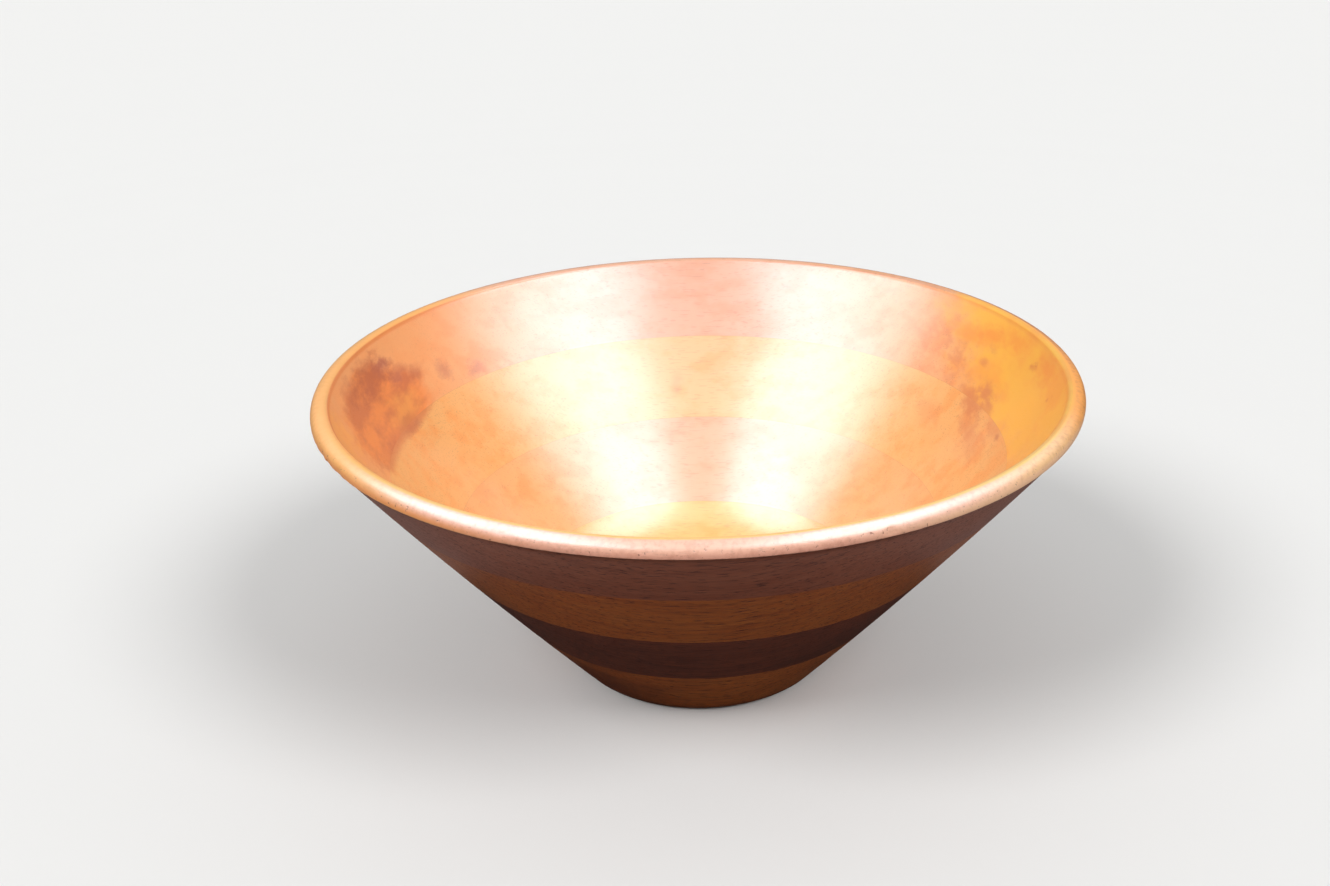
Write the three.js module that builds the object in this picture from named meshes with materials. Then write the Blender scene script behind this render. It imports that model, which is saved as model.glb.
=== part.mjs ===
// A conical fruit bowl turned from four boards glued face to face, light and dark wood by turns.
// Millimetres, +Z up. The origin is on the table, at the middle of the foot.

import * as THREE from 'three';

// Overall sizes
const rimDiameter = 305;
const footDiameter = 106;
const boardThickness = 31.75; // each of the four boards, so the bowl is 127 high

// Wall, measured level from the outside face to the inside face
const wallAtFoot = 7.6;
const wallAtRim = 6.6;
const wallSwell = 1.6; // how far the wall bows out beyond a straight cone, at half its height

// Lip, a rounded bead that overhangs the outside of the wall
const beadWidth = 7.2;
const beadHeight = 5.6;
const beadOverhang = 1;
const beadWrapOutside = 60; // degrees that the round runs on below the bead's widest point
const beadWrapInside = 30;

// Floor inside. A cove carries it into the wall, and runs out at the first glue joint.
const floorHeight = 18;

// Foot, a flat ring round a shallow turned recess
const footRingWidth = 11;
const recessDepth = 1.8;
const footEdge = 1.2;

// Smoothness of the turned surfaces
const turnSteps = 72;
const wallSteps = 4;
const beadSteps = 18;
const coveStep = 5; // degrees
const edgeSteps = 3;

const bowlHeight = 4 * boardThickness;
const footRadius = footDiameter / 2;
const beadBottom = bowlHeight - beadHeight;
const wallTopRadius = rimDiameter / 2 - beadOverhang;
const bead = {
  centreRadius: (rimDiameter - beadWidth) / 2,
  centreHeight: bowlHeight - beadHeight / 2,
};
const jointHeights = {
  base: boardThickness,
  lower: 2 * boardThickness,
  middle: 3 * boardThickness,
};

// Outside face of the wall: a cone from foot to lip with a slight swell.
function outsideRadius(height) {
  const t = height / beadBottom;
  return THREE.MathUtils.lerp(footRadius, wallTopRadius, t) + 4 * wallSwell * t * (1 - t);
}

// Inside face of the wall: it follows the outside, and the wall thins towards the rim.
function insideRadius(height) {
  return outsideRadius(height) - THREE.MathUtils.lerp(wallAtFoot, wallAtRim, height / beadBottom);
}

// Cove between floor and wall: the circle that lies flat on the floor and runs into the wall.
function makeCove() {
  const top = jointHeights.base;
  const rise = 0.5;
  const run = (insideRadius(top + rise) - insideRadius(top - rise)) / 2;
  const wallAngle = Math.atan2(rise, run);
  const radius = (top - floorHeight) / (1 - Math.cos(wallAngle));
  return { radius, wallAngle, centre: insideRadius(top) - radius * Math.sin(wallAngle) };
}
const cove = makeCove();

// Points of a face given as a radius at each height, from one height to another.
function facePoints(radiusAt, from, to, steps) {
  const points = [];
  for (let i = 0; i <= steps; i++) {
    const height = THREE.MathUtils.lerp(from, to, i / steps);
    points.push(new THREE.Vector2(radiusAt(height), height));
  }
  return points;
}

// Points of the cove, from the first joint down to the floor, in equal angles.
function covePoints() {
  const steps = Math.ceil(THREE.MathUtils.radToDeg(cove.wallAngle) / coveStep);
  const points = [];
  for (let i = steps; i >= 0; i--) {
    const angle = cove.wallAngle * i / steps;
    const radius = cove.centre + cove.radius * Math.sin(angle);
    points.push(new THREE.Vector2(radius, floorHeight + cove.radius * (1 - Math.cos(angle))));
  }
  return points;
}

// Rounded bead of the lip, from its outside groove over the top to its inside groove.
function beadPoints() {
  const start = -THREE.MathUtils.degToRad(beadWrapOutside);
  const end = Math.PI + THREE.MathUtils.degToRad(beadWrapInside);
  const round = new THREE.EllipseCurve(
    bead.centreRadius, bead.centreHeight, beadWidth / 2, beadHeight / 2, start, end);
  return round.getPoints(beadSteps);
}

// Underside: recess, cove of the foot ring, the flat that stands on the table, and its soft edge.
function footPoints() {
  const ringInside = footRadius - footRingWidth;
  const ringCove = new THREE.EllipseCurve(
    ringInside - recessDepth, 0, recessDepth, recessDepth, Math.PI / 2, 0, true);
  const softEdge = new THREE.QuadraticBezierCurve(
    new THREE.Vector2(footRadius - footEdge, 0),
    new THREE.Vector2(footRadius, 0),
    new THREE.Vector2(outsideRadius(footEdge), footEdge));
  return [
    new THREE.Vector2(0, recessDepth),
    ...ringCove.getPoints(edgeSteps),
    ...softEdge.getPoints(edgeSteps),
  ];
}

// Turns a section round the bowl's upright axis.
function turn(name, points, wood) {
  const geometry = new THREE.LatheGeometry(points, turnSteps);
  geometry.rotateX(Math.PI / 2);
  const mesh = new THREE.Mesh(geometry, wood);
  mesh.name = name;
  return mesh;
}

function lightWood() {
  return new THREE.MeshStandardMaterial({ color: 0xb4682f, roughness: 0.35, metalness: 0 });
}

function darkWood() {
  return new THREE.MeshStandardMaterial({ color: 0x7e4230, roughness: 0.35, metalness: 0 });
}

// Bottom board, with the foot, the floor and the cove.
function baseDisc() {
  const points = [
    ...footPoints(),
    ...facePoints(outsideRadius, footEdge, jointHeights.base, wallSteps).slice(1),
    ...covePoints(),
    new THREE.Vector2(0, floorHeight),
  ];
  return turn('base_disc', points, lightWood());
}

// A board between two joints, turned to a leaning ring.
function boardRing(name, bottom, top, wood) {
  const points = [
    ...facePoints(outsideRadius, bottom, top, wallSteps),
    ...facePoints(insideRadius, top, bottom, wallSteps),
    new THREE.Vector2(outsideRadius(bottom), bottom),
  ];
  return turn(name, points, wood);
}

// Top board, with the lip. A fine groove parts the bead from the wall on both sides.
function rimRing() {
  const bottom = jointHeights.middle;
  const points = [
    ...facePoints(outsideRadius, bottom, beadBottom, wallSteps),
    ...beadPoints(),
    ...facePoints(insideRadius, beadBottom, bottom, wallSteps),
    new THREE.Vector2(outsideRadius(bottom), bottom),
  ];
  return turn('rim_ring', points, darkWood());
}

const bowl = new THREE.Group();
bowl.add(baseDisc());
bowl.add(boardRing('lower_ring', jointHeights.base, jointHeights.lower, darkWood()));
bowl.add(boardRing('middle_ring', jointHeights.lower, jointHeights.middle, lightWood()));
bowl.add(rimRing());

export default bowl;
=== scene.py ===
import math
import random

import bmesh
import bpy
from mathutils import Matrix, Vector, noise


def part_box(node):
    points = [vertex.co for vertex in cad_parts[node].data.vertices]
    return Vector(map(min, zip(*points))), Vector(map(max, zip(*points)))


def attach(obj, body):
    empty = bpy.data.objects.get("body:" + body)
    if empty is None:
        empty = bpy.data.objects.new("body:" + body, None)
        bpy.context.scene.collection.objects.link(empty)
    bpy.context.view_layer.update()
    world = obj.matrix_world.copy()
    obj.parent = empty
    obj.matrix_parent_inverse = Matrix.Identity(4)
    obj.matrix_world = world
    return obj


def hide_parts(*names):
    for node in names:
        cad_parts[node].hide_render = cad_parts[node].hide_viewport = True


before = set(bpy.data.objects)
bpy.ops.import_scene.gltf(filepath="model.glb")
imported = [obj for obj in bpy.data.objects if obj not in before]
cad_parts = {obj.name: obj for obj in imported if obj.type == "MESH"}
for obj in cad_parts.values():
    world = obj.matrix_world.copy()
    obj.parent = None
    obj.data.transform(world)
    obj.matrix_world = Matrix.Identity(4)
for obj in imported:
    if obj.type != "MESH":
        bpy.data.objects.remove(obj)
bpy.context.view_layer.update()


# Base board: the bottom board of the stack, lighter wood with its grain along X. The foot, the floor
# and the cove that carries the floor into the wall are turned in it.
FOOT_RADIUS = 0.053
FOOT_RING_WIDTH = 0.011
FOOT_EDGE = 0.0012
RECESS_DEPTH = 0.0018
FLOOR_HEIGHT = 0.018
WALL_AT_FOOT = 0.0076
WALL_AT_RIM = 0.0066
WALL_SWELL = 0.0016
BEAD_HEIGHT = 0.0056
BEAD_OVERHANG = 0.001
BASE_TURN_STEPS = 300
WALL_POINTS = 10
COVE_POINTS = 24
RECESS_POINTS = 8
COVE_RISE = 0.0005
MERGE_DISTANCE = 1e-6
REAL_EDGE_ANGLE = 28

base_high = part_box("base_disc")[1]
rim_low, rim_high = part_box("rim_ring")
bead_bottom = rim_high.z - BEAD_HEIGHT
wall_top_radius = rim_high.x - BEAD_OVERHANG


def outside_radius(height):
    """Outside face of the wall: a cone from foot to lip with a slight swell."""
    t = height / bead_bottom
    return FOOT_RADIUS + (wall_top_radius - FOOT_RADIUS) * t + 4 * WALL_SWELL * t * (1 - t)


def inside_radius(height):
    """Inside face of the wall, which thins a little towards the rim."""
    t = height / bead_bottom
    return outside_radius(height) - WALL_AT_FOOT - (WALL_AT_RIM - WALL_AT_FOOT) * t


# The cove lies flat on the floor and runs into the wall at the first glue joint, at the wall's own angle.
cove_top = base_high.z
wall_run = inside_radius(cove_top + COVE_RISE) - inside_radius(cove_top - COVE_RISE)
wall_angle = math.atan2(2 * COVE_RISE, wall_run)
cove_radius = (cove_top - FLOOR_HEIGHT) / (1 - math.cos(wall_angle))
cove_centre = inside_radius(cove_top) - cove_radius * math.sin(wall_angle)


def face_points(radius_at, start, end, count=WALL_POINTS):
    """Points of a turned face from one height to another, both ends included."""
    heights = [start + (end - start) * i / count for i in range(count + 1)]
    return [(radius_at(height), height) for height in heights]


def cove_points():
    """Points of the cove from the glue joint down to the floor, in equal angles."""
    points = []
    for i in range(COVE_POINTS + 1):
        angle = wall_angle * (1 - i / COVE_POINTS)
        radius = cove_centre + cove_radius * math.sin(angle)
        points.append((radius, FLOOR_HEIGHT + cove_radius * (1 - math.cos(angle))))
    return points


def arc_points(centre, radii, start, end, count):
    """Points of an ellipse's arc, with its angles in degrees."""
    angles = [math.radians(start + (end - start) * i / count) for i in range(count + 1)]
    return [(centre[0] + radii[0] * math.cos(a), centre[1] + radii[1] * math.sin(a)) for a in angles]


def spin_outline(outline, steps):
    """A bmesh of the closed outline (radius, height) turned once round the bowl's upright axis."""
    bm = bmesh.new()
    ring = [bm.verts.new((radius, 0, height)) for radius, height in outline]
    edges = [bm.edges.new(pair) for pair in zip(ring, ring[1:])]
    if outline[0][0] > 0:
        edges.append(bm.edges.new((ring[-1], ring[0])))
    bmesh.ops.spin(bm, geom=ring + edges, cent=(0, 0, 0), axis=(0, 0, 1),
                   angle=math.tau, steps=steps, use_merge=True)
    bmesh.ops.remove_doubles(bm, verts=bm.verts, dist=MERGE_DISTANCE)
    bmesh.ops.recalc_face_normals(bm, faces=bm.faces)
    return bm


def finish_board(name, bm, wood):
    """Makes the piece's object, smooth but for its real edges, with its wood."""
    for face in bm.faces:
        face.smooth = True
    for edge in bm.edges:
        edge.smooth = edge.calc_face_angle(0) < math.radians(REAL_EDGE_ANGLE)
    mesh = bpy.data.meshes.new(name)
    bm.to_mesh(mesh)
    bm.free()
    mesh.materials.append(wood)
    board = bpy.data.objects.new(name, mesh)
    bpy.context.scene.collection.objects.link(board)
    return board


def add_node(tree, kind, inputs=None, **settings):
    """A shader node with its settings, and with values or links on its inputs."""
    made = tree.nodes.new(kind)
    for name, value in settings.items():
        setattr(made, name, value)
    for name, value in (inputs or {}).items():
        if isinstance(value, bpy.types.NodeSocket):
            tree.links.new(value, made.inputs[name])
        else:
            made.inputs[name].default_value = value
    return made


def calc(tree, operation, a, b=0.0):
    """One sum of two values, such as ADD."""
    return add_node(tree, "ShaderNodeMath", {0: a, 1: b}, operation=operation).outputs[0]


def product(tree, first, *others):
    """All the values multiplied together."""
    for other in others:
        first = calc(tree, "MULTIPLY", first, other)
    return first


def add_share(tree, value, other, share):
    """The value with a share of another added."""
    return calc(tree, "ADD", value, calc(tree, "MULTIPLY", other, share))


def opposite(tree, mask):
    """1 where the mask is 0, and 0 where it is 1."""
    return calc(tree, "SUBTRACT", 1.0, mask)


def vector_calc(tree, operation, a, b):
    return add_node(tree, "ShaderNodeVectorMath", {0: a, 1: b}, operation=operation).outputs[0]


def length_of(tree, vector):
    return add_node(tree, "ShaderNodeVectorMath", {0: vector}, operation="LENGTH").outputs["Value"]


def part_of(tree, vector, axis):
    return add_node(tree, "ShaderNodeSeparateXYZ", {0: vector}).outputs[axis]


def in_millimetres(tree, position):
    return vector_calc(tree, "MULTIPLY", position, (1000, 1000, 1000))


def step_up(tree, value, low, high):
    """A soft step from 0 at low to 1 at high, or down where low is above high."""
    made = add_node(tree, "ShaderNodeMapRange", {"Value": value, "From Min": low, "From Max": high},
                    interpolation_type="SMOOTHSTEP")
    return made.outputs[0]


def mixed(tree, factor, a, b):
    """Colour a with colour b over it where the factor is 1."""
    return add_node(tree, "ShaderNodeMix", {0: factor, 6: a, 7: b}, data_type="RGBA").outputs[2]


def noise_at(tree, place, waves, detail=2.0, roughness=0.5, output="Fac"):
    """Noise over a place in millimetres, with its waves per millimetre along X, Y and Z."""
    scaled = vector_calc(tree, "MULTIPLY", place, waves)
    settings = {"Vector": scaled, "Scale": 1.0, "Detail": detail, "Roughness": roughness}
    return add_node(tree, "ShaderNodeTexNoise", settings).outputs[output]


def layer(tree, place, waves, detail, roughness, low, high):
    """A noise over a place, made 0 below its low level and 1 above its high level."""
    return step_up(tree, noise_at(tree, place, waves, detail, roughness), low, high)


def start_group(name, inputs, outputs):
    """A shader group with named sockets, and its input and output nodes."""
    group = bpy.data.node_groups.new(name, "ShaderNodeTree")
    for label, kind in inputs.items():
        group.interface.new_socket(label, in_out="INPUT", socket_type="NodeSocket" + kind)
    for label in outputs:
        group.interface.new_socket(label, in_out="OUTPUT", socket_type="NodeSocketFloat")
    return group, group.nodes.new("NodeGroupInput").outputs, group.nodes.new("NodeGroupOutput").inputs


# The layers of the figure, with their waves per millimetre along the grain and across it. A pair of
# numbers is where a step starts and where it is full.
DRIFT_WAVES = (0.005, 0.016, 0.016)
RUFFLE_WAVES = (0.02, 0.35, 0.35)
RUFFLE = 0.9
RING_TAPER = (0.05, 1, 1)
LATE_WOOD_COMES = (0.1, 0.8)
LATE_WOOD_ENDS = (1.0, 0.86)
PORE_WAVES = (0.16, 1.7, 1.7)
PORES_IN_LATE_WOOD = 0.03
PORE_LEVELS = (0.61, 0.70)
STREAKS = {"waves": (0.011, 0.42, 0.42), "detail": 4, "roughness": 0.6, "low": 0.36, "high": 0.66}
FIBRES = {"waves": (0.06, 1.5, 1.5), "detail": 3, "roughness": 0.65, "low": 0.32, "high": 0.68}
CLOUDS = {"waves": (0.012, 0.03, 0.03), "detail": 3, "roughness": 0.55, "low": 0.32, "high": 0.68}
BLOTCHES = {"waves": (0.05, 0.09, 0.09), "detail": 4, "roughness": 0.6, "low": 0.42, "high": 0.66}


def board_figure():
    """The figure of a flat-sawn board: growth rings round the tree's centre line, which runs along X."""
    group, given, result = start_group(
        "board_figure",
        {"Position": "Vector", "Pith": "Vector", "Ring Width": "Float", "Wander": "Float"},
        ["Rings", "Streaks", "Fibres", "Pores", "Clouds", "Blotches"])
    own = vector_calc(group, "SUBTRACT", in_millimetres(group, given["Position"]), given["Pith"])
    drift = noise_at(group, own, DRIFT_WAVES, detail=3, output="Color")
    drift = vector_calc(group, "SUBTRACT", drift, (0.5, 0.5, 0.5))
    drift = add_node(
        group, "ShaderNodeVectorMath", {0: drift, "Scale": given["Wander"]}, operation="SCALE")
    wandering = vector_calc(group, "ADD", own, drift.outputs[0])
    radius = length_of(group, vector_calc(group, "MULTIPLY", wandering, RING_TAPER))
    count = calc(group, "DIVIDE", radius, given["Ring Width"])
    count = add_share(group, count, noise_at(group, wandering, RUFFLE_WAVES), RUFFLE)
    season = calc(group, "FRACT", count)
    late = product(
        group, step_up(group, season, *LATE_WOOD_COMES), step_up(group, season, *LATE_WOOD_ENDS))
    year = calc(group, "FLOOR", count)
    strength = add_node(group, "ShaderNodeTexWhiteNoise", {"W": year}, noise_dimensions="1D").outputs[0]
    dashes = add_share(group, noise_at(group, own, PORE_WAVES, detail=1), late, PORES_IN_LATE_WOOD)
    group.links.new(product(group, late, strength), result["Rings"])
    group.links.new(layer(group, wandering, **STREAKS), result["Streaks"])
    group.links.new(layer(group, own, **FIBRES), result["Fibres"])
    group.links.new(step_up(group, dashes, *PORE_LEVELS), result["Pores"])
    group.links.new(layer(group, own, **CLOUDS), result["Clouds"])
    group.links.new(layer(group, own, **BLOTCHES), result["Blotches"])
    return group


GOUGE_WAVES = 0.35
GOUGE_HEIGHT = 0.05
SANDING_WAVES = 2.2
SANDING_HEIGHT = 0.006


def turning_marks():
    """Fine rings left round the bowl by the gouge and the sandpaper, as a height in millimetres."""
    group, given, result = start_group("turning_marks", {"Position": "Vector"}, ["Height"])
    place = in_millimetres(group, given["Position"])
    radius = length_of(group, vector_calc(group, "MULTIPLY", place, (1, 1, 0)))
    along = calc(group, "ADD", radius, part_of(group, place, 2))
    total = 0.0
    for waves, height in ((GOUGE_WAVES, GOUGE_HEIGHT), (SANDING_WAVES, SANDING_HEIGHT)):
        rings = add_node(group, "ShaderNodeTexNoise", {"W": along, "Scale": waves, "Detail": 2.0},
                         noise_dimensions="1D").outputs[0]
        total = add_share(group, total, rings, height)
    group.links.new(total, result["Height"])
    return group


SMUDGES = {"waves": (0.035, 0.035, 0.035), "detail": 4, "roughness": 0.6, "low": 0.4, "high": 0.7}
SCRATCHES = {"waves": (0.03, 3.0, 3.0), "detail": 0, "roughness": 0.5, "low": 0.8, "high": 0.86}
SCRATCH_TURNS = ((35, 20), (-50, -35))


def lacquer_marks():
    """Handling marks in the lacquer: dull smudges, and fine scratches in two directions."""
    group, given, result = start_group("lacquer_marks", {"Position": "Vector"}, ["Smudges", "Scratches"])
    place = in_millimetres(group, given["Position"])
    group.links.new(layer(group, place, **SMUDGES), result["Smudges"])
    scratches = 0.0
    for turn, lean in SCRATCH_TURNS:
        angles = (0, math.radians(lean), math.radians(turn))
        turned = add_node(group, "ShaderNodeVectorRotate", {0: place, "Rotation": angles},
                          rotation_type="EULER_XYZ").outputs[0]
        scratches = calc(group, "ADD", layer(group, turned, **SCRATCHES), scratches)
    group.links.new(scratches, result["Scratches"])
    return group


FACING_INWARD = (0.03, 0.0)
FACING_UPWARD = (-0.2, 0.1)


def inner_side():
    """1 on the bowl's inside, and 0 on its outside and underside, from which way the surface faces."""
    group, given, result = start_group(
        "inner_side", {"Position": "Vector", "Normal": "Vector"}, ["Inside"])
    level = vector_calc(group, "MULTIPLY", given["Position"], (1, 1, 0))
    facing = add_node(
        group, "ShaderNodeVectorMath", {0: level, 1: given["Normal"]}, operation="DOT_PRODUCT")
    inward = step_up(group, facing.outputs["Value"], *FACING_INWARD)
    upward = step_up(group, part_of(group, given["Normal"], 2), *FACING_UPWARD)
    group.links.new(product(group, inward, upward), result["Inside"])
    return group


FRAY = 1.7


def wood_spot():
    """A mask round a centre in the wood, in millimetres, frayed by a noise that is 0.5 on average."""
    group, given, result = start_group(
        "wood_spot", {"Place": "Vector", "Fray": "Float", "Centre": "Vector", "Size": "Vector",
                      "Outer": "Float", "Inner": "Float"}, ["Mask"])
    away = vector_calc(group, "SUBTRACT", given["Place"], given["Centre"])
    distance = length_of(group, vector_calc(group, "DIVIDE", away, given["Size"]))
    width = product(group, calc(group, "SUBTRACT", given["Outer"], given["Inner"]), FRAY)
    frayed = product(group, calc(group, "SUBTRACT", given["Fray"], 0.5), width)
    frayed = calc(group, "ADD", distance, frayed)
    group.links.new(step_up(group, frayed, given["Outer"], given["Inner"]), result["Mask"])
    return group


figure_group = board_figure()
turning_group = turning_marks()
lacquer_group = lacquer_marks()
inner_group = inner_side()
spot_group = wood_spot()

# How much each layer of the figure shows, and how the lacquer lies over it. Heights are in millimetres.
STREAK_SHARE = 0.55
FIBRE_SHARE = 0.4
LIT_INSIDE_SHARE = 0.88
END_GRAIN_SHARE = 0.75
END_GRAIN_LEAN = (0.2, 0.7)
PORE_SHARE = 0.8
PORES_FILLED_INSIDE = 0.75
GLUE_SHARE = 0.15
GLUE_FROM_JOINT = (0.0002, 0.00005)
WOOD_IOR = 1.5
SATIN_ROUGHNESS = 0.38
SMUDGE_ROUGHNESS = 0.06
PORE_ROUGHNESS = 0.1
LACQUER = 0.85
LACQUER_IOR = 1.5
LACQUER_ROUGHNESS = 0.22
SMUDGED_LACQUER = -0.12
PORE_HEIGHT = -0.02
FIBRE_HEIGHT = 0.004
SCRATCH_HEIGHT = -0.01


def board_wood(name, wood, pith, ring_width, wander, joints, marks=None):
    """Satin-lacquered wood of one board. pith is where the tree's centre line passed, in millimetres.

    marks is a function that adds what only this board has, such as a knot or a worn lip."""
    material = bpy.data.materials.new(name)
    material.use_nodes = True
    tree = material.node_tree
    shader = tree.nodes["Principled BSDF"]
    coordinates = add_node(tree, "ShaderNodeTexCoord").outputs
    position, normal = coordinates["Object"], coordinates["Normal"]
    own = {"Position": position, "Pith": pith, "Ring Width": ring_width, "Wander": wander}
    figure = add_node(tree, "ShaderNodeGroup", own, node_tree=figure_group).outputs
    turning = add_node(tree, "ShaderNodeGroup", {"Position": position}, node_tree=turning_group).outputs
    lacquer = add_node(tree, "ShaderNodeGroup", {"Position": position}, node_tree=lacquer_group).outputs
    facing = {"Position": position, "Normal": normal}
    inside = add_node(tree, "ShaderNodeGroup", facing, node_tree=inner_group).outputs["Inside"]

    end_grain = calc(tree, "ABSOLUTE", part_of(tree, normal, 0))
    end_grain = product(tree, step_up(tree, end_grain, *END_GRAIN_LEAN), inside)
    colour = mixed(tree, figure["Clouds"], wood["ground"], wood["warm"])
    colour = mixed(tree, product(tree, figure["Rings"], wood["ring strength"]), colour, wood["late"])
    colour = mixed(tree, product(tree, figure["Streaks"], STREAK_SHARE), colour, wood["streak"])
    colour = mixed(tree, product(tree, figure["Fibres"], FIBRE_SHARE), colour, wood["late"])
    # Inside the bowl the wood takes paler lit copies of its colours: painted light for the strong light
    # there.
    lit_inside = mixed(tree, figure["Blotches"], wood["lit_inside"], wood["lit_inside warm"])
    colour = mixed(tree, product(tree, inside, LIT_INSIDE_SHARE), colour, lit_inside)
    # The end grain inside takes lit copies too, at the same painted-light level.
    end = mixed(tree, figure["Blotches"], wood["end"], wood["end warm"])
    colour = mixed(tree, product(tree, end_grain, END_GRAIN_SHARE), colour, end)
    open_pores = opposite(tree, product(tree, inside, PORES_FILLED_INSIDE))
    colour = mixed(tree, product(tree, figure["Pores"], PORE_SHARE, open_pores), colour, wood["pore"])
    for joint in joints:
        gap = calc(tree, "ABSOLUTE", calc(tree, "SUBTRACT", part_of(tree, position, 2), joint))
        glue = product(tree, step_up(tree, gap, *GLUE_FROM_JOINT), GLUE_SHARE)
        colour = mixed(tree, glue, colour, wood["pore"])

    roughness = add_share(tree, SATIN_ROUGHNESS, lacquer["Smudges"], SMUDGE_ROUGHNESS)
    roughness = add_share(tree, roughness, figure["Pores"], PORE_ROUGHNESS)
    coat = add_share(tree, LACQUER, lacquer["Smudges"], SMUDGED_LACQUER)
    height = add_share(tree, turning["Height"], figure["Pores"], PORE_HEIGHT)
    height = add_share(tree, height, figure["Fibres"], FIBRE_HEIGHT)
    height = add_share(tree, height, lacquer["Scratches"], SCRATCH_HEIGHT)
    if marks:
        colour, coat, height = marks(tree, in_millimetres(tree, position), inside, colour, coat, height)
    bump = add_node(tree, "ShaderNodeBump", {"Height": height, "Distance": 0.001, "Strength": 1.0})
    tree.links.new(colour, shader.inputs["Base Color"])
    tree.links.new(roughness, shader.inputs["Roughness"])
    tree.links.new(coat, shader.inputs["Coat Weight"])
    tree.links.new(bump.outputs[0], shader.inputs["Normal"])
    shader.inputs["IOR"].default_value = WOOD_IOR
    shader.inputs["Coat Roughness"].default_value = LACQUER_ROUGHNESS
    shader.inputs["Coat IOR"].default_value = LACQUER_IOR
    return material


# Each wood's inside colours, its end grain's included, are lit copies of the wood: painted light.
LIGHT_WOOD = {
    "ground": (0.66, 0.160, 0.024, 1), "warm": (0.76, 0.215, 0.038, 1), "late": (0.36, 0.075, 0.014, 1),
    "streak": (0.82, 0.27, 0.055, 1), "pore": (0.13, 0.03, 0.01, 1), "ring strength": 0.65,
    "end": (0.88, 0.42, 0.095, 1), "end warm": (0.90, 0.35, 0.055, 1),
    "lit_inside": (0.84, 0.50, 0.22, 1), "lit_inside warm": (0.81, 0.42, 0.15, 1)}
# The bowl's floor in the base board takes its own lit copy: painted light.
LIT_BOWL_FLOOR = {"lit_inside": (0.86, 0.52, 0.17, 1), "lit_inside warm": (0.82, 0.43, 0.11, 1)}
STAIN_COLOUR = (0.30, 0.062, 0.012, 1)
STAIN_PLACE = (-38, -48, 14)
STAIN_SIZE = (26, 30, 24)
STAIN_SHARE = 0.85
STAIN_EDGE_WAVES = (0.05, 0.05, 0.12)


def spot(tree, place, fray, centre, size, outer=1.5, inner=0.2):
    """The mask of one spot: 1 within the inner share of its size, and 0 beyond the outer share."""
    own = {"Place": place, "Fray": fray, "Centre": centre, "Size": size, "Outer": outer, "Inner": inner}
    return add_node(tree, "ShaderNodeGroup", own, node_tree=spot_group).outputs["Mask"]


def base_marks(tree, place, inside, colour, coat, height):
    """A dark stain in the outside of the base board, at the left of the front."""
    edge = noise_at(tree, place, STAIN_EDGE_WAVES, detail=3, roughness=0.6)
    stain = spot(tree, place, edge, STAIN_PLACE, STAIN_SIZE)
    stain = product(tree, stain, STAIN_SHARE, opposite(tree, inside))
    return mixed(tree, stain, colour, STAIN_COLOUR), coat, height


base_wood = board_wood(
    "base_board_wood", {**LIGHT_WOOD, **LIT_BOWL_FLOOR}, pith=(30, 34, -46), ring_width=4.6, wander=16,
    joints=[base_high.z], marks=base_marks)
foot_cove = (FOOT_RADIUS - FOOT_RING_WIDTH - RECESS_DEPTH, 0)
foot_edge = [(FOOT_RADIUS - FOOT_EDGE, 0), (FOOT_RADIUS - FOOT_EDGE / 4, FOOT_EDGE / 4),
             (outside_radius(FOOT_EDGE), FOOT_EDGE)]
base_outline = (
    [(0, RECESS_DEPTH)] + arc_points(foot_cove, (RECESS_DEPTH, RECESS_DEPTH), 90, 0, RECESS_POINTS)
    + foot_edge + face_points(outside_radius, FOOT_EDGE, base_high.z)[1:]
    + cove_points() + [(0, FLOOR_HEIGHT)])
base_bm = spin_outline(base_outline, BASE_TURN_STEPS)
base_board = finish_board("base_board", base_bm, base_wood)
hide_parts("base_disc")
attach(base_board, "root")


# Lower board: dark reddish-brown wood, turned to a plain leaning ring and glued flat to the base board.
# Its outside is painted darker than the rim board's, as painted shade low on the bowl.
LOWER_TURN_STEPS = 360
DARK_WOOD = {
    "ground": (0.44, 0.120, 0.058, 1), "warm": (0.53, 0.160, 0.080, 1), "late": (0.27, 0.066, 0.032, 1),
    "streak": (0.58, 0.205, 0.115, 1), "pore": (0.09, 0.025, 0.016, 1), "ring strength": 0.45,
    "end": (0.87, 0.38, 0.10, 1), "end warm": (0.88, 0.31, 0.055, 1),
    "lit_inside": (0.79, 0.42, 0.26, 1), "lit_inside warm": (0.75, 0.36, 0.20, 1)}
# Its outside colours are painted shade, darker than the rim board's, and its inside ones lit copies.
LOWER_BOARD_PAINTED_LIGHT = {
    "ground": (0.20, 0.048, 0.024, 1), "warm": (0.30, 0.070, 0.031, 1), "late": (0.12, 0.030, 0.016, 1),
    "streak": (0.37, 0.10, 0.048, 1), "end": (0.88, 0.41, 0.095, 1), "end warm": (0.89, 0.35, 0.055, 1),
    "lit_inside": (0.80, 0.45, 0.26, 1), "lit_inside warm": (0.77, 0.38, 0.20, 1)}

lower_low, lower_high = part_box("lower_ring")


def ring_outline(low, high):
    """Outline of a board between two joints: up the outside of the wall and down the inside."""
    return face_points(outside_radius, low, high) + face_points(inside_radius, high, low)


lower_wood = board_wood(
    "lower_board_wood", {**DARK_WOOD, **LOWER_BOARD_PAINTED_LIGHT}, pith=(-20, -18, -30), ring_width=5.2, wander=14,
    joints=[lower_low.z, lower_high.z])
lower_bm = spin_outline(ring_outline(lower_low.z, lower_high.z), LOWER_TURN_STEPS)
lower_board = finish_board("lower_board", lower_bm, lower_wood)
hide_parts("lower_ring")
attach(lower_board, "root")


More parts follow.
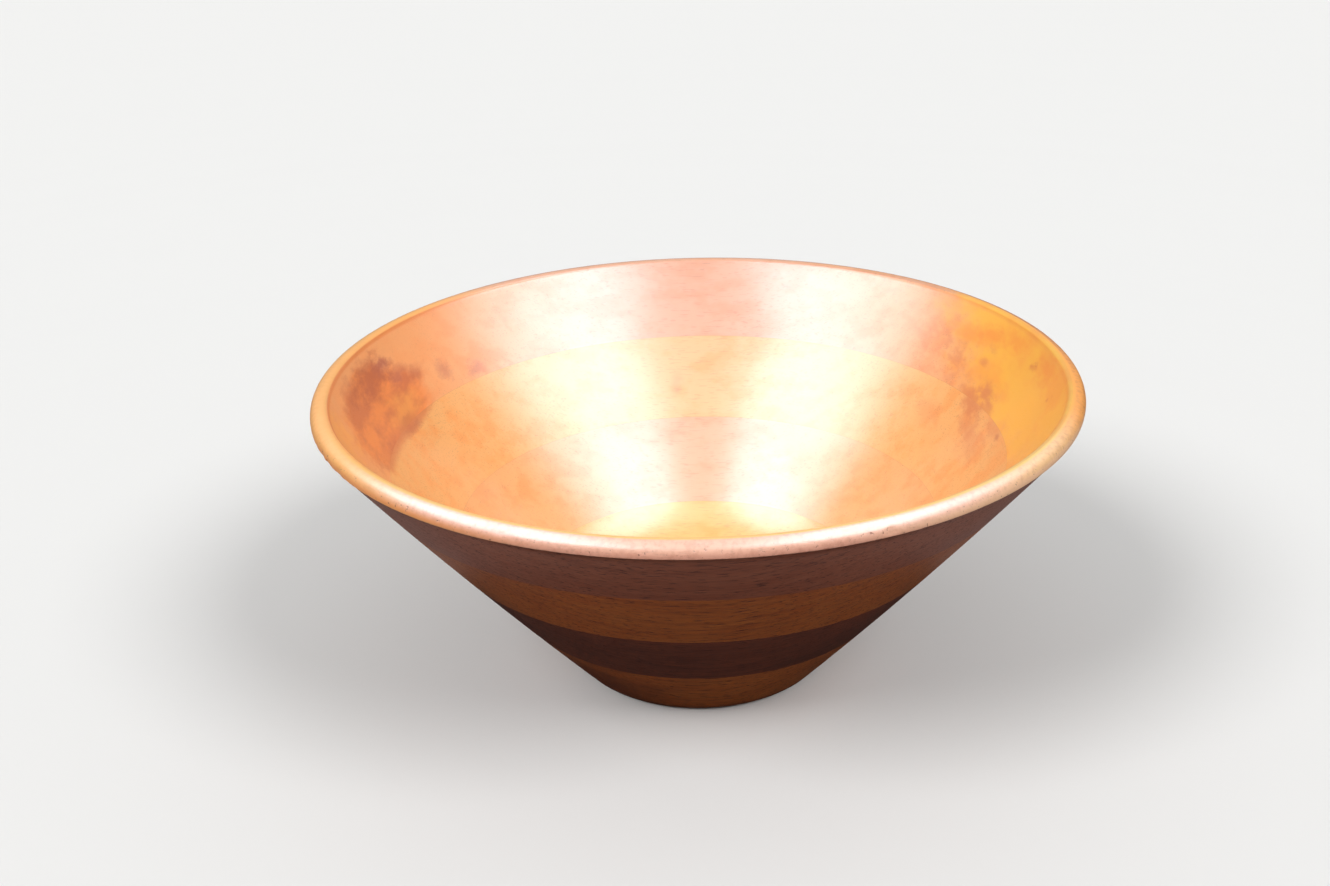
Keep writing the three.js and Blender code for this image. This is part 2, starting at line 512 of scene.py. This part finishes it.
# Middle board: lighter wood again, from the same stock as the base board, glued between the two dark
# boards. Inside it has a faint fleck at the back, and marks that run over its upper joint at both sides.
MIDDLE_TURN_STEPS = 420
HEART_PLACE = (-130, 10, 104)
HEART_SIZE = (40, 44, 17)
HEART_OUTER = 1.15
HEART_INNER = 0.8
HEART_EDGE_WAVES = (0.11, 0.06, 0.11)
HEART_ACROSS = (0, -9)
HEART_BELOW_JOINT = 0.7
HEART_RISE = (91, 95)
MARK_WAVES = (0.24, 0.13, 0.24)
HEART_BROWN = (0.60, 0.14, 0.020, 1)
DEEP_ORANGE = (0.68, 0.21, 0.05, 1)
RED_BROWN = (0.46, 0.095, 0.018, 1)
PURPLE_BROWN = (0.42, 0.12, 0.07, 1)
MIDDLE_MARKS = [
    {"centre": (-9, 110, 77), "size": (3, 6, 6), "strength": 0.2, "colour": PURPLE_BROWN},
    {"centre": (118, 34, 94), "size": (6, 9, 5), "strength": 0.8, "colour": DEEP_ORANGE},
    {"centre": (116, 28, 88), "size": (5, 9, 5), "strength": 0.5, "colour": DEEP_ORANGE},
    {"centre": (103, 52, 83), "size": (6, 10, 6), "strength": 0.3, "colour": DEEP_ORANGE},
    {"centre": (123, 8, 94), "size": (5, 9, 5), "strength": 0.4, "colour": DEEP_ORANGE},
    {"centre": (115, 14, 84), "size": (6, 12, 7), "strength": 0.4, "colour": DEEP_ORANGE},
    {"centre": (122.7, 1, 93), "size": (1.4, 2.4, 1.4), "strength": 0.5, "colour": RED_BROWN},
    {"centre": (-121, 24, 93), "size": (4, 9, 2), "strength": 0.5, "colour": RED_BROWN}]

middle_low, middle_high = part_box("middle_ring")


def with_marks(tree, place, inside, colour, marks):
    """The colour with small marks added on the inside of the bowl."""
    fray = noise_at(tree, place, MARK_WAVES, detail=4, roughness=0.64)
    for mark in marks:
        mask = spot(tree, place, fray, mark["centre"], mark["size"])
        colour = mixed(tree, product(tree, mask, mark["strength"], inside), colour, mark["colour"])
    return colour


def heart_mask(tree, place, edge, inside):
    """Where the tree's brown heart shows on the inside, at the left."""
    heart = spot(tree, place, edge, HEART_PLACE, HEART_SIZE, HEART_OUTER, HEART_INNER)
    at_left = step_up(tree, part_of(tree, place, 0), *HEART_ACROSS)
    return product(tree, heart, at_left, inside)


def middle_marks(tree, place, inside, colour, coat, height):
    """Marks on the inside, and the last of the rim board's brown heart just below the joint."""
    edge = noise_at(tree, place, HEART_EDGE_WAVES, detail=4, roughness=0.6)
    by_joint = step_up(tree, part_of(tree, place, 2), *HEART_RISE)
    heart = product(tree, heart_mask(tree, place, edge, inside), by_joint, HEART_BELOW_JOINT)
    colour = mixed(tree, heart, colour, HEART_BROWN)
    return with_marks(tree, place, inside, colour, MIDDLE_MARKS), coat, height


middle_wood = board_wood(
    "middle_board_wood", LIGHT_WOOD, pith=(10, 22, 8), ring_width=5.0, wander=18,
    joints=[middle_low.z, middle_high.z], marks=middle_marks)
middle_bm = spin_outline(ring_outline(middle_low.z, middle_high.z), MIDDLE_TURN_STEPS)
middle_board = finish_board("middle_board", middle_bm, middle_wood)
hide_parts("middle_ring")
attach(middle_board, "root")


# Rim board: dark wood, the top of the stack, with the rounded lip turned in it. The lip is worn pale,
# with painted light on its top and at its ends' underside and painted shade lower down, and chipped along
# its outer edge, most of all at the left.
LIP_OUTER_REACH = 0.0047
LIP_FALL = 0.0042
LIP_WRAP = 10
LIP_CROWN = 0.0012
LIP_INNER_REACH = 0.0024
LIP_INNER_EDGE = 0.0016
LIP_INNER_WRAP = 175
RIM_THICKENING = 0.0029
LIP_POINTS = 20
RIM_WALL_POINTS = 24
RIM_TURN_STEPS = 720
CHIPS = [
    {"angle": -154, "height": 0.1222, "radius": 0.0036, "depth": 0.0004},
    {"angle": -151, "height": 0.1218, "radius": 0.0030, "depth": 0.0004},
    {"angle": -147, "height": 0.1218, "radius": 0.0032, "depth": 0.0004},
    {"angle": -115, "height": 0.1256, "radius": 0.0018, "depth": 0.0004},
    {"angle": -66, "height": 0.1240, "radius": 0.0020, "depth": 0.0004},
    {"angle": -61, "height": 0.1232, "radius": 0.0020, "depth": 0.0003}]
SMALL_CHIPS = 14
SMALL_CHIP_ANGLES = (-158, -138)
SMALL_CHIP_HEIGHTS = (0.1212, 0.1234)
SMALL_CHIP_RADII = (0.0012, 0.0024)
SMALL_CHIP_DEPTHS = (0.0001, 0.0002)
CHIP_FLOOR_WAVES = 900
CHIP_FLOOR_LEAST = 0.75
CHIP_FLOOR_RANGE = 0.5

crown_radius = rim_high.x - LIP_OUTER_REACH
inner_edge_height = rim_high.z - LIP_INNER_EDGE


def rim_inside_radius(height):
    """Inside face of the rim board, which thickens towards the lip."""
    t = (height - rim_low.z) / (inner_edge_height - rim_low.z)
    return inside_radius(height) - RIM_THICKENING * t * t


outer_round = arc_points(
    (crown_radius, rim_high.z - LIP_FALL), (LIP_OUTER_REACH, LIP_FALL), -LIP_WRAP, 90, LIP_POINTS)
inner_round = arc_points(
    (crown_radius, rim_high.z - LIP_CROWN), (LIP_INNER_REACH, LIP_CROWN), 90, LIP_INNER_WRAP, LIP_POINTS)
rim_outline = (
    face_points(outside_radius, rim_low.z, bead_bottom) + outer_round + inner_round[1:]
    + face_points(rim_inside_radius, inner_edge_height, rim_low.z, RIM_WALL_POINTS))


def chip_lip(bm, chips):
    """Dents the lip inwards at each chip, with an uneven floor."""
    bm.normal_update()
    moves = {}
    for chip in chips:
        angle = math.radians(chip["angle"])
        centre = Vector((math.cos(angle) * rim_high.x, math.sin(angle) * rim_high.x, chip["height"]))
        for vert in bm.verts:
            near = (vert.co - centre).length / chip["radius"]
            if near < 1:
                rough = CHIP_FLOOR_LEAST + CHIP_FLOOR_RANGE * noise.noise(vert.co * CHIP_FLOOR_WAVES)
                moves[vert] = max(moves.get(vert, 0), chip["depth"] * (1 - near ** 2) * rough)
    for vert, depth in moves.items():
        vert.co -= vert.normal * depth


RED_ORANGE = (0.62, 0.09, 0.012, 1)
BRIGHT_ORANGE = (0.92, 0.33, 0.025, 1)
# Real pale sapwood, painted brighter still as painted light, to lift the shaded wall near the lip.
SAPWOOD = (0.97, 0.50, 0.03, 1)
HEART_ORANGE = (0.86, 0.25, 0.028, 1)
LEFT_ORANGE = (0.92, 0.39, 0.12, 1)
WORN_LIP = (0.93, 0.56, 0.40, 1)
# The lip's lower part takes a darker colour than its top: painted shade below the lit crown.
WORN_LIP_PAINTED_SHADE = (0.86, 0.44, 0.32, 1)
WORN_YELLOW = (0.95, 0.59, 0.28, 1)
WORN_RIGHT = (0.95, 0.39, 0.06, 1)
WORN_LEFT = (0.97, 0.45, 0.08, 1)
# The lip's underside at its two ends takes near-white orange and pink: painted light where it shows lit.
LOW_LEFT_PAINTED_LIGHT = (1.0, 0.41, 0.14, 1)
LOW_RIGHT_PAINTED_LIGHT = (1.0, 0.62, 0.38, 1)
INNER_EDGE_COLOUR = (0.96, 0.61, 0.15, 1)
# A dark line in the groove inside the lip: painted shade in the crease.
CREASE_PAINTED_SHADE = (0.80, 0.24, 0.035, 1)
FAR_EDGE_COLOUR = (0.55, 0.14, 0.035, 1)
PIT_COLOUR = (0.20, 0.06, 0.04, 1)
RIM_MARKS = [
    {"centre": (-124, 28, 99), "size": (8, 14, 7), "strength": 0.7, "colour": (0.90, 0.36, 0.05, 1)},
    {"centre": (-136, 38, 116.5), "size": (5, 8, 3.5), "strength": 0.7, "colour": PURPLE_BROWN},
    {"centre": (-130, 42, 110.5), "size": (5, 8, 3.5), "strength": 0.4, "colour": PURPLE_BROWN},
    {"centre": (-137, 26, 115), "size": (8, 18, 8), "strength": 0.7, "colour": RED_BROWN},
    {"centre": (-141, 5, 116), "size": (6, 12, 6), "strength": 0.4, "colour": RED_BROWN},
    {"centre": (-123, 53, 107), "size": (4, 7, 4), "strength": 0.4, "colour": RED_BROWN},
    {"centre": (-121, 24, 96), "size": (5, 9, 3), "strength": 0.5, "colour": RED_BROWN},
    {"centre": (-125, -11, 97), "size": (6, 12, 6), "strength": 0.35, "colour": RED_BROWN},
    {"centre": (-136, -50, 120), "size": (14, 22, 14), "strength": 0.9, "colour": WORN_LEFT},
    {"centre": (-113, 66, 103), "size": (4, 4, 6), "strength": 0.4, "colour": PURPLE_BROWN},
    {"centre": (-99.6, 79, 99), "size": (8, 5, 3), "strength": 0.4, "colour": PURPLE_BROWN},
    {"centre": (124, 33, 100), "size": (4, 7, 5), "strength": 0.8, "colour": DEEP_ORANGE},
    {"centre": (118, 36, 95), "size": (6, 8, 4), "strength": 0.8, "colour": DEEP_ORANGE},
    {"centre": (122.7, 24, 96), "size": (4, 6, 4), "strength": 0.6, "colour": DEEP_ORANGE},
    {"centre": (116, 43, 96), "size": (5, 5, 3), "strength": 0.5, "colour": DEEP_ORANGE},
    {"centre": (143.4, 6, 119.5), "size": (6, 13, 5), "strength": 0.9, "colour": BRIGHT_ORANGE},
    {"centre": (143.4, 23.6, 121.8), "size": (1.6, 2.6, 1.2), "strength": 0.6, "colour": RED_ORANGE},
    {"centre": (141.9, 16.2, 118.7), "size": (1.8, 2.8, 1.4), "strength": 1, "colour": RED_ORANGE},
    {"centre": (140.4, 17, 117.2), "size": (2, 3.4, 1.4), "strength": 0.6, "colour": RED_ORANGE},
    {"centre": (139.3, -14.7, 115.1), "size": (1.2, 1.9, 1.5), "strength": 0.9, "colour": RED_ORANGE},
    {"centre": (140.5, -17, 116.6), "size": (1.2, 1.9, 1.5), "strength": 0.8, "colour": RED_ORANGE},
    {"centre": (126.7, 61, 115.7), "size": (2, 3.4, 1.8), "strength": 0.5, "colour": DEEP_ORANGE},
    {"centre": (125.6, 48, 107.8), "size": (2, 3.4, 1.8), "strength": 0.5, "colour": DEEP_ORANGE},
    {"centre": (123, 67, 115), "size": (10, 16, 3), "strength": 0.7, "colour": BRIGHT_ORANGE},
    {"centre": (131, 56, 118), "size": (10, 16, 3), "strength": 0.8, "colour": BRIGHT_ORANGE},
    {"centre": (139, 41, 121), "size": (10, 16, 3), "strength": 0.7, "colour": BRIGHT_ORANGE}]

# Spread and strength of the rim board's colours, in millimetres.
SAPWOOD_ACROSS = (108, 130)
SAPWOOD_DRIFT = 26
SAPWOOD_SHARE = 0.92
SAPWOOD_CLOUDS = {"waves": (0.05, 0.03, 0.06), "detail": 3, "roughness": 0.55, "low": 0.42, "high": 0.6}
CLOUD_SHARE = 0.6
LEFT_ORANGE_ACROSS = (-90, -130)
LEFT_ORANGE_SHARE = 0.7
MOTTLE = {"waves": (0.16, 0.10, 0.16), "detail": 4, "roughness": 0.6, "low": 0.42, "high": 0.62}
MOTTLE_PLACE = (114, 66, 106)
MOTTLE_SIZE = (18, 30, 13)
MOTTLE_SHARE = 0.5
HEART_FIGURE = {"waves": (0.07, 0.035, 0.07), "detail": 4, "roughness": 0.6, "low": 0.38, "high": 0.62}
HEART_SHARE = 0.9


def with_heart(tree, place, edge, inside, colour):
    """The colour with the tree's knotty brown heart at the left, and its pale sapwood at the right."""
    across = part_of(tree, place, 0)
    drifting = add_share(tree, across, calc(tree, "SUBTRACT", edge, 0.5), SAPWOOD_DRIFT)
    sapwood = product(tree, step_up(tree, drifting, *SAPWOOD_ACROSS), SAPWOOD_SHARE, inside)
    clouds = product(tree, layer(tree, place, **SAPWOOD_CLOUDS), CLOUD_SHARE)
    colour = mixed(tree, sapwood, colour, mixed(tree, clouds, SAPWOOD, BRIGHT_ORANGE))
    left = product(tree, step_up(tree, across, *LEFT_ORANGE_ACROSS), LEFT_ORANGE_SHARE, inside)
    colour = mixed(tree, left, colour, LEFT_ORANGE)
    mottled = spot(tree, place, edge, MOTTLE_PLACE, MOTTLE_SIZE)
    mottled = product(tree, mottled, layer(tree, place, **MOTTLE), inside, MOTTLE_SHARE)
    colour = mixed(tree, mottled, colour, DEEP_ORANGE)
    brown = mixed(tree, layer(tree, place, **HEART_FIGURE), HEART_BROWN, HEART_ORANGE)
    heart = product(tree, heart_mask(tree, place, edge, inside), HEART_SHARE)
    return mixed(tree, heart, colour, brown)


# Where the lip's colours lie, in millimetres out from the middle, up from the foot, across to the right
# and to the back. A pair is where a colour starts and where it is full.
LEFT_END = (-40, -105)
RIGHT_END = (40, 110)
LIP_UP = (121.6, 122.3)
LIP_OUT = (145.2, 145.9)
RAG_WAVES = (0.35, 0.35, 0.35)
RAG = 1.6
LEFT_DROP = 0.8
RIGHT_WIDENING = 1.9
WEAR_PATCHES = {"waves": (0.45, 0.45, 0.45), "detail": 4, "roughness": 0.6, "low": 0.3, "high": 0.6}
FULL_WEAR = 0.68
PATCHY_WEAR = 0.25
FAR_WEAR = 0.3
FRONT_BACK = (70, -30)
LIP_PAINTED_SHADE_UP = (122.8, 125.8)
RIGHT_LIFT = 2.5
YELLOW_BACK = (-130, -90)
ORANGE_BACK = (-85, -45)
INNER_EDGE_OUT = (148.8, 147.6)
INNER_EDGE_UP = (123, 125)
INNER_EDGE_BACK = (-45, -95)
INNER_EDGE_SHARE = 0.85
LEFT_WORN_ACROSS = (-85, -130)
LEFT_WORN_SHARE = 0.8
UNDERNEATH_UP = (125.2, 122.8)
UNDERNEATH_OUT = (149, 150.5)
UNDERNEATH_BACK = (-30, -75)
FAR_EDGE_OUT = (149.8, 151)
FAR_EDGE_BACK = (20, 80)
FAR_EDGE_SHARE = 0.7
CREASE_RADIUS = 145.2
CREASE_AWAY = (0.7, 0.15)
CREASE_UP = (122, 124)
CREASE_ACROSS = (95, 130)
CREASE_SHARE = 0.75
CREASE_FADE = -0.5
PITS = {"waves": (0.75, 0.75, 0.75), "detail": 2, "roughness": 0.6, "low": 0.63, "high": 0.72}
PITS_UP = (121.6, 122.4)
PITS_TOP = (126.4, 124.6)
PITS_OUT = (148, 150)
PIT_SHARE = 0.6
PIT_HEIGHT = -0.1
LACQUER_WORN = -0.6
LACQUER_WORN_RIGHT = -0.25
LEAST_LACQUER = 0.05


def lip_places(tree, place):
    """Where a point of the rim board lies: across the bowl, to the back, up, out, and at which end."""
    across = part_of(tree, place, 0)
    return {
        "across": across, "back": part_of(tree, place, 1), "up": part_of(tree, place, 2),
        "out": length_of(tree, vector_calc(tree, "MULTIPLY", place, (1, 1, 0))),
        "left": step_up(tree, across, *LEFT_END), "right": step_up(tree, across, *RIGHT_END)}


def lip_mask(tree, place, at):
    """1 on the lip, from its ragged lower edge over the top to the crease."""
    rag = calc(tree, "SUBTRACT", noise_at(tree, place, RAG_WAVES, detail=4, roughness=0.65), 0.5)
    ragged = add_share(tree, add_share(tree, at["up"], rag, RAG), at["left"], LEFT_DROP)
    narrowed = add_share(tree, at["out"], at["right"], -RIGHT_WIDENING)
    return product(tree, step_up(tree, ragged, *LIP_UP), step_up(tree, narrowed, *LIP_OUT))


def worn_share(tree, place, at, on_lip):
    """How far the dark wood of the lip is worn away: in patches, and less at the back."""
    wear = add_share(tree, FULL_WEAR, layer(tree, place, **WEAR_PATCHES), PATCHY_WEAR)
    front = add_share(tree, FAR_WEAR, step_up(tree, at["back"], *FRONT_BACK), 1 - FAR_WEAR)
    return product(tree, on_lip, wear, front)


def with_worn_lip(tree, at, on_lip, worn, colour):
    """The colour with the lip worn pale in front, yellow and orange at its ends, and dark at the back.

    Its top is painted lighter and its lower part darker, as painted light and shade, and its underside
    at both ends is painted lighter still, as painted light.
    """
    lifted = add_share(tree, at["up"], at["right"], RIGHT_LIFT)
    # Darker low on the lip and lighter on top, by height: painted shade and painted light.
    pale = mixed(tree, step_up(tree, lifted, *LIP_PAINTED_SHADE_UP), WORN_LIP_PAINTED_SHADE, WORN_LIP)
    yellowed = product(tree, at["right"], step_up(tree, at["back"], *YELLOW_BACK))
    pale = mixed(tree, yellowed, pale, WORN_YELLOW)
    right_end = product(tree, at["right"], step_up(tree, at["back"], *ORANGE_BACK))
    colour = mixed(tree, worn, colour, mixed(tree, right_end, pale, WORN_RIGHT))
    inner_edge = product(
        tree, step_up(tree, at["out"], *LIP_OUT), step_up(tree, at["out"], *INNER_EDGE_OUT),
        step_up(tree, at["up"], *INNER_EDGE_UP), step_up(tree, at["back"], *INNER_EDGE_BACK),
        INNER_EDGE_SHARE)
    colour = mixed(tree, inner_edge, colour, INNER_EDGE_COLOUR)
    left_end = product(tree, on_lip, step_up(tree, at["across"], *LEFT_WORN_ACROSS), LEFT_WORN_SHARE)
    colour = mixed(tree, left_end, colour, WORN_LEFT)
    underneath = product(
        tree, on_lip, step_up(tree, at["up"], *UNDERNEATH_UP), step_up(tree, at["out"], *UNDERNEATH_OUT),
        step_up(tree, at["back"], *UNDERNEATH_BACK))
    # The underside at both ends painted lighter: painted light.
    colour = mixed(tree, product(tree, underneath, at["left"]), colour, LOW_LEFT_PAINTED_LIGHT)
    colour = mixed(tree, product(tree, underneath, at["right"]), colour, LOW_RIGHT_PAINTED_LIGHT)
    far_edge = product(
        tree, step_up(tree, at["out"], *FAR_EDGE_OUT), step_up(tree, at["back"], *FAR_EDGE_BACK),
        FAR_EDGE_SHARE)
    return mixed(tree, far_edge, colour, FAR_EDGE_COLOUR)


def with_crease(tree, at, colour):
    """The colour with a painted shade line in the groove inside the lip, at both ends of the bowl."""
    away = calc(tree, "ABSOLUTE", calc(tree, "SUBTRACT", at["out"], CREASE_RADIUS))
    crease = product(
        tree, step_up(tree, away, *CREASE_AWAY), step_up(tree, at["up"], *CREASE_UP),
        step_up(tree, calc(tree, "ABSOLUTE", at["across"]), *CREASE_ACROSS),
        add_share(tree, CREASE_SHARE, at["right"], CREASE_FADE))
    return mixed(tree, crease, colour, CREASE_PAINTED_SHADE)


def lip_pits(tree, place, at):
    """Small pits along the lip's outer edge."""
    return product(
        tree, layer(tree, place, **PITS), step_up(tree, at["up"], *PITS_UP),
        step_up(tree, at["up"], *PITS_TOP), step_up(tree, at["out"], *PITS_OUT))


def rim_marks(tree, place, inside, colour, coat, height):
    """The heart and the sapwood, small marks, and the lip's wear, crease and pits."""
    edge = noise_at(tree, place, HEART_EDGE_WAVES, detail=4, roughness=0.6)
    colour = with_heart(tree, place, edge, inside, colour)
    colour = with_marks(tree, place, inside, colour, RIM_MARKS)
    at = lip_places(tree, place)
    on_lip = lip_mask(tree, place, at)
    worn = worn_share(tree, place, at, on_lip)
    colour = with_worn_lip(tree, at, on_lip, worn, colour)
    colour = with_crease(tree, at, colour)
    pits = lip_pits(tree, place, at)
    colour = mixed(tree, product(tree, pits, PIT_SHARE), colour, PIT_COLOUR)
    height = add_share(tree, height, pits, PIT_HEIGHT)
    coat = add_share(tree, coat, worn, LACQUER_WORN)
    coat = add_share(tree, coat, product(tree, on_lip, at["right"]), LACQUER_WORN_RIGHT)
    return colour, calc(tree, "MAXIMUM", coat, LEAST_LACQUER), height


rim_wood = board_wood(
    "rim_board_wood", DARK_WOOD, pith=(-40, 12, 52), ring_width=5.6, wander=20,
    joints=[rim_low.z], marks=rim_marks)
rim_bm = spin_outline(rim_outline, RIM_TURN_STEPS)
random.seed(12)
small_chips = [
    {"angle": random.uniform(*SMALL_CHIP_ANGLES), "height": random.uniform(*SMALL_CHIP_HEIGHTS),
     "radius": random.uniform(*SMALL_CHIP_RADII), "depth": random.uniform(*SMALL_CHIP_DEPTHS)}
    for _ in range(SMALL_CHIPS)]
chip_lip(rim_bm, CHIPS + small_chips)
rim_board = finish_board("rim_board", rim_bm, rim_wood)
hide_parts("rim_ring")
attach(rim_board, "root")


# Floor: a plain pale surface that keeps the bowl's shadow. The light that it throws back up is dimmer
# than it looks. Under the foot and from below it is clear, so that the foot can be seen.
FLOOR_SIZE = 12
FLOOR_DROP = 0.0004
FLOOR_ROUGHNESS = 0.6
FLOOR_COLOUR = (0.80, 0.80, 0.79, 1)
THROWN_BACK = (0.19, 0.16, 0.135, 1)
MIRRORED_NEAR = (0.03, 0.028, 0.028, 1)
MIRRORED_OPEN = (0.20, 0.15, 0.14, 1)
NEAR_RADIUS = 0.112
OPEN_RADIUS = 0.135
CLEAR_RADIUS = 0.05

floor_material = bpy.data.materials.new("pale_floor")
floor_material.use_nodes = True
floor_tree = floor_material.node_tree
floor_shader = floor_tree.nodes["Principled BSDF"]
floor_shader.inputs["Roughness"].default_value = FLOOR_ROUGHNESS
floor_shader.inputs["Specular IOR Level"].default_value = 0
floor_path = add_node(floor_tree, "ShaderNodeLightPath").outputs
floor_place = add_node(floor_tree, "ShaderNodeTexCoord").outputs["Object"]
from_centre = length_of(floor_tree, floor_place)
# In reflections the floor is near black close to the foot, a painted shadow of the bowl, and paler in the
# open.
in_the_open = step_up(floor_tree, from_centre, NEAR_RADIUS, OPEN_RADIUS)
mirrored = mixed(floor_tree, in_the_open, MIRRORED_NEAR, MIRRORED_OPEN)
not_shown = mixed(floor_tree, floor_path["Is Glossy Ray"], THROWN_BACK, mirrored)
floor_colour = mixed(floor_tree, floor_path["Is Camera Ray"], not_shown, FLOOR_COLOUR)
floor_tree.links.new(floor_colour, floor_shader.inputs["Base Color"])
under_foot = calc(floor_tree, "LESS_THAN", from_centre, CLEAR_RADIUS)
under_foot = product(floor_tree, under_foot, opposite(floor_tree, floor_path["Is Camera Ray"]))
from_below = add_node(floor_tree, "ShaderNodeNewGeometry").outputs["Backfacing"]
clear = calc(floor_tree, "MAXIMUM", from_below, under_foot)
see_through = add_node(floor_tree, "ShaderNodeBsdfTransparent").outputs[0]
floor_mix = add_node(
    floor_tree, "ShaderNodeMixShader", {0: clear, 1: floor_shader.outputs[0], 2: see_through})
floor_tree.links.new(floor_mix.outputs[0], floor_tree.nodes["Material Output"].inputs["Surface"])
floor_bm = bmesh.new()
bmesh.ops.create_grid(floor_bm, x_segments=1, y_segments=1, size=FLOOR_SIZE / 2,
                      matrix=Matrix.Translation((0, 0, -FLOOR_DROP)))
floor_mesh = bpy.data.meshes.new("floor")
floor_bm.to_mesh(floor_mesh)
floor_bm.free()
floor_mesh.materials.append(floor_material)
floor = bpy.data.objects.new("floor", floor_mesh)
bpy.context.scene.collection.objects.link(floor)


# Studio light: two broad soft lamps overhead, left and right of the camera, and a soft sky. Two panels
# just above the bowl show in the lacquer as bright bands, and are seen in reflections only.
LAMP_ANGLE = 26
LAMPS = {"left": (-0.56, 1.62), "right": (0.56, 1.42)}
LAMP_FRONT = -0.44
LAMP_UP = 0.70
SKY_ABOVE = 0.5
SKY_LOW = 0.25
SKY_BELOW = 0.6
SKY_RISE = (0.0, 0.9)
SKY_FALL = (-0.05, -0.3)
SKY_SHOWN = 0.85
PANEL_HEIGHT = 0.40
PANEL_FRONT = -0.38
PANEL_BACK = 0.22
PANEL_BACK_FADE = 0.21
PANEL_LIGHT = 11.2
PANEL_COLOUR = (0.88, 0.84, 1.0)
PANELS = [
    {"name": "left", "inner": -0.100, "outer": -0.620, "fade": 0.30},
    {"name": "right", "inner": 0.076, "outer": 0.540, "fade": 0.32}]

for label, (side, strength) in LAMPS.items():
    lamp_data = bpy.data.lights.new(f"lamp_{label}", "SUN")
    lamp_data.energy = strength
    lamp_data.angle = math.radians(LAMP_ANGLE)
    lamp = bpy.data.objects.new(f"lamp_{label}", lamp_data)
    lamp.rotation_mode = "QUATERNION"
    lamp.rotation_quaternion = Vector((side, LAMP_FRONT, LAMP_UP)).to_track_quat("Z", "Y")
    lamp.visible_glossy = False
    bpy.context.scene.collection.objects.link(lamp)

for settings in PANELS:
    inner, outer = settings["inner"], settings["outer"]
    width, depth = abs(outer - inner), PANEL_BACK - PANEL_FRONT
    panel_data = bpy.data.lights.new("panel_" + settings["name"], "AREA")
    panel_data.shape = "RECTANGLE"
    panel_data.size, panel_data.size_y = width, depth
    panel_data.color = PANEL_COLOUR
    panel_data.energy = PANEL_LIGHT * math.pi * width * depth
    panel_data.use_nodes = True
    panel_tree = panel_data.node_tree
    panel_place = add_node(panel_tree, "ShaderNodeNewGeometry").outputs["Parametric"]
    outer_side = 0.0 if outer < inner else 1.0
    fade_end = abs(outer_side - settings["fade"] / width)
    side_fade = step_up(panel_tree, part_of(panel_tree, panel_place, 0), outer_side, fade_end)
    back_end = 1.0 - PANEL_BACK_FADE / depth
    back_fade = step_up(panel_tree, part_of(panel_tree, panel_place, 1), 1.0, back_end)
    panel_tree.links.new(product(panel_tree, side_fade, back_fade),
                         panel_tree.nodes["Emission"].inputs["Strength"])
    panel = bpy.data.objects.new("panel_" + settings["name"], panel_data)
    panel.location = ((inner + outer) / 2, (PANEL_BACK + PANEL_FRONT) / 2, PANEL_HEIGHT)
    panel.visible_camera = False
    panel.visible_diffuse = False
    bpy.context.scene.collection.objects.link(panel)

world = bpy.data.worlds.new("studio")
bpy.context.scene.world = world
world.use_nodes = True
sky = world.node_tree
sky_up = part_of(sky, add_node(sky, "ShaderNodeTexCoord").outputs["Generated"], 2)
sky_level = add_node(
    sky, "ShaderNodeMapRange",
    {"Value": sky_up, "From Min": SKY_RISE[0], "From Max": SKY_RISE[1],
     "To Min": SKY_LOW, "To Max": SKY_ABOVE}, interpolation_type="SMOOTHSTEP").outputs[0]
below = product(sky, step_up(sky, sky_up, *SKY_FALL), SKY_BELOW)
sky_level = calc(sky, "MAXIMUM", sky_level, below)
seen = add_node(sky, "ShaderNodeLightPath").outputs["Is Camera Ray"]
shown_level = add_node(
    sky, "ShaderNodeMix", {0: seen, 2: sky_level, 3: SKY_SHOWN}, data_type="FLOAT").outputs[0]
sky.links.new(shown_level, sky.nodes["Background"].inputs["Strength"])
sky.nodes["Background"].inputs["Color"].default_value = (1, 1, 1, 1)


# Camera: above and in front of the bowl, looking down at it, with no shift.
CAMERA_PLACE = Vector((0, -0.5795, 0.3529))
CAMERA_DOWN = 24.04
CAMERA_TURN = 1.287
CAMERA_ROLL = -1.736
CAMERA_LENS = 41.82
SENSOR_WIDTH = 36

camera_data = bpy.data.cameras.new("camera")
camera_data.lens = CAMERA_LENS
camera_data.sensor_width = SENSOR_WIDTH
camera = bpy.data.objects.new("camera", camera_data)
turned = Matrix.Rotation(math.radians(CAMERA_TURN), 4, "Z")
tilted = Matrix.Rotation(math.radians(90 - CAMERA_DOWN), 4, "X")
rolled = Matrix.Rotation(math.radians(CAMERA_ROLL), 4, "Z")
camera.matrix_world = Matrix.Translation(CAMERA_PLACE) @ turned @ tilted @ rolled
bpy.context.scene.collection.objects.link(camera)
bpy.context.scene.camera = camera
bpy.context.scene.view_settings.view_transform = "Standard"
